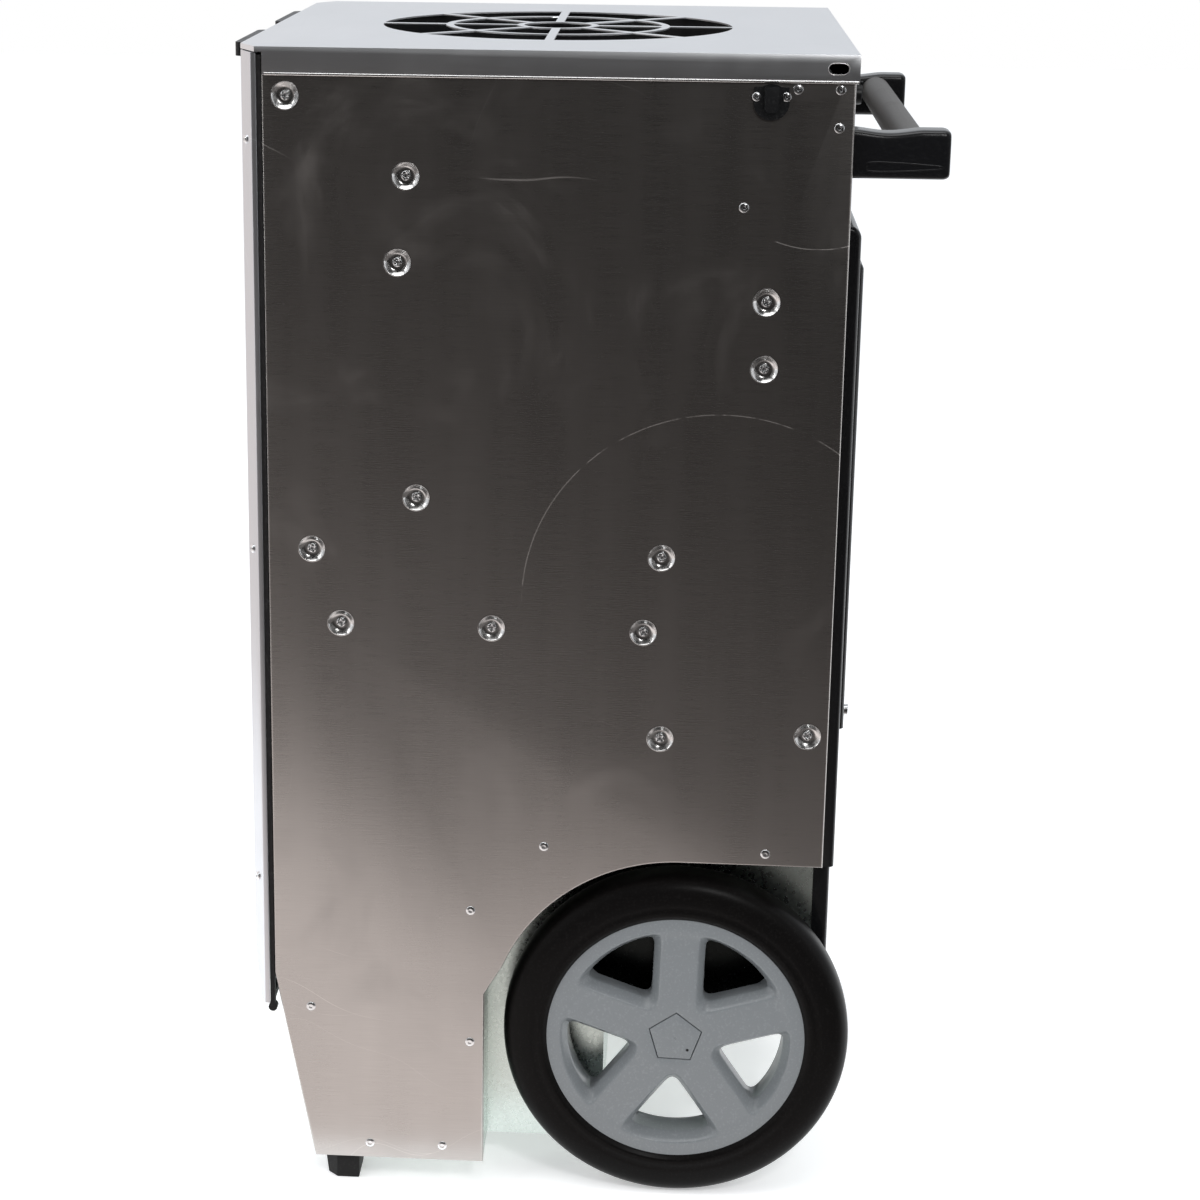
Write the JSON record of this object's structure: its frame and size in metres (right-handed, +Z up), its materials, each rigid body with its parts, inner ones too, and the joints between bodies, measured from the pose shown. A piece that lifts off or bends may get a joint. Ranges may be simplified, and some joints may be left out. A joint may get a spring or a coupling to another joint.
{
  "type": "dehumidifier",
  "caption": "Large mobile commercial dehumidifier: upright sheet-metal casing, round top air outlet, rear filter door, push handle and large wheels under the rear.",
  "frame": {"origin": "on the floor, under the centre of the bounding box", "axes": "+X across the width to the side with the mains inlet, -Y to the front cover, +Y to the handle and filter side, +Z up"},
  "size_m": [0.5905, 0.673, 1.17],
  "materials": {
    "panel_steel": "brushed stainless steel with fine scratches",
    "lid_steel": "satin stainless steel",
    "galvanised": "galvanised sheet with a fine spangle",
    "bright_zinc": "bright zinc-plated",
    "black_gloss": "moulded black plastic, slightly grained",
    "black_matt": "matt black plastic",
    "wheel_grey": "speckled grey moulded plastic",
    "tyre_black": "solid foam tyre, satin black",
    "rubber_black": "black rubber",
    "grip_sleeve": "grey-brown grip sleeve",
    "steel_bar": "plain steel bar",
    "bush_brass": "sintered bronze and brass",
    "copper": "bare copper tube",
    "fin_aluminium": "thin bare fins",
    "motor_enamel": "black enamel",
    "foam": "open-cell filter foam",
    "lamp_lens": "coloured lens",
    "meter_face": "glossy window",
    "board_green": "printed circuit board"
  },
  "bodies": {
    "casing": {"air_baffle": "galvanised", "axle": "steel_bar", "axle_collars": "bright_zinc", "base_chassis": "galvanised", "coil_return_bends": "copper", "compressor": "motor_enamel", "compressor_mounts": "rubber_black", "condenser_coil": "fin_aluminium", "control_board": "board_green", "control_plate": "black_matt", "drain_outlet": "bush_brass", "drip_tray": "black_matt", "electrical_box": "galvanised", "evaporator_coil": "fin_aluminium", "fan_bracket": "motor_enamel", "fan_motor": "motor_enamel", "fan_ring": "motor_enamel", "filter_bezel": "black_gloss", "front_cover": "lid_steel", "front_cover_screws": "bright_zinc", "front_feet": "rubber_black", "front_gasket": "rubber_black", "front_grips": "black_matt", "handle_bolts": "bright_zinc", "handle_bracket_left": "black_gloss", "handle_bracket_right": "black_gloss", "handle_grip": "grip_sleeve", "handle_tube": "steel_bar", "hour_meter": "meter_face", "indicator_lamps": "lamp_lens", "panel_rivets": "bright_zinc", "panel_screws": "bright_zinc", "power_inlet": "black_matt", "rear_lower_cover": "black_gloss", "rear_panel": "panel_steel", "refrigerant_pipes": "copper", "retaining_rings": "steel_bar", "run_capacitor": "fin_aluminium", "side_panel_left": "panel_steel", "side_panel_right": "panel_steel", "switch_frame": "black_matt", "top_lid": "lid_steel", "wheelhouse_left": "galvanised", "wheelhouse_right": "galvanised"},
    "wheel_right": {"wheel_hub_right": "wheel_grey", "tyre_right": "tyre_black", "hub_cap_right": "wheel_grey", "wheel_bushes_right": "bush_brass"},
    "wheel_left": {"wheel_hub_left": "wheel_grey", "tyre_left": "tyre_black", "hub_cap_left": "wheel_grey", "wheel_bushes_left": "bush_brass"},
    "fan": {"fan_impeller": "motor_enamel"},
    "filter_door": {"filter_door": "black_gloss", "filter_pad": "foam"},
    "latch_right": {"latch_knob_right": "bright_zinc"},
    "latch_left": {"latch_knob_left": "bright_zinc"},
    "hygrostat": {"hygrostat_knob": "black_matt"},
    "main_switch": {"switch_rocker": "black_gloss"},
    "breaker": {"breaker_button": "black_matt"}
  },
  "joints": [
    {"name": "wheel_right_spin", "type": "hinge", "parent": "casing", "child": "wheel_right", "pos_m": [0.26, 0.1055, 0.176], "axis": [1, 0, 0], "continuous": true},
    {"name": "wheel_left_spin", "type": "hinge", "parent": "casing", "child": "wheel_left", "pos_m": [-0.26, 0.1055, 0.176], "axis": [1, 0, 0], "continuous": true},
    {"name": "fan_spin", "type": "hinge", "parent": "casing", "child": "fan", "pos_m": [0, -0.0415, 1.12], "axis": [0, 0, 1], "continuous": true},
    {"name": "filter_door_pull", "type": "slide", "parent": "casing", "child": "filter_door", "axis": [0, 1, 0], "range_m": [0, 0.06]},
    {"name": "latch_right_turn", "type": "hinge", "parent": "filter_door", "child": "latch_right", "pos_m": [0.19, 0.2665, 0.503], "axis": [0, 1, 0], "range_deg": [0, 90]},
    {"name": "latch_left_turn", "type": "hinge", "parent": "filter_door", "child": "latch_left", "pos_m": [-0.19, 0.2665, 0.503], "axis": [0, 1, 0], "range_deg": [0, 90]},
    {"name": "hygrostat_turn", "type": "hinge", "parent": "casing", "child": "hygrostat", "pos_m": [0.15, 0.2475, 1.12], "axis": [0, 1, 0], "range_deg": [-135, 135]},
    {"name": "main_switch_rock", "type": "hinge", "parent": "casing", "child": "main_switch", "pos_m": [0.09, 0.2445, 1.12], "axis": [1, 0, 0], "range_deg": [0, 16]},
    {"name": "breaker_push", "type": "slide", "parent": "casing", "child": "breaker", "axis": [0, -1, 0], "range_m": [0, 0.003], "stiffness_N_per_m": 200}
  ]
}
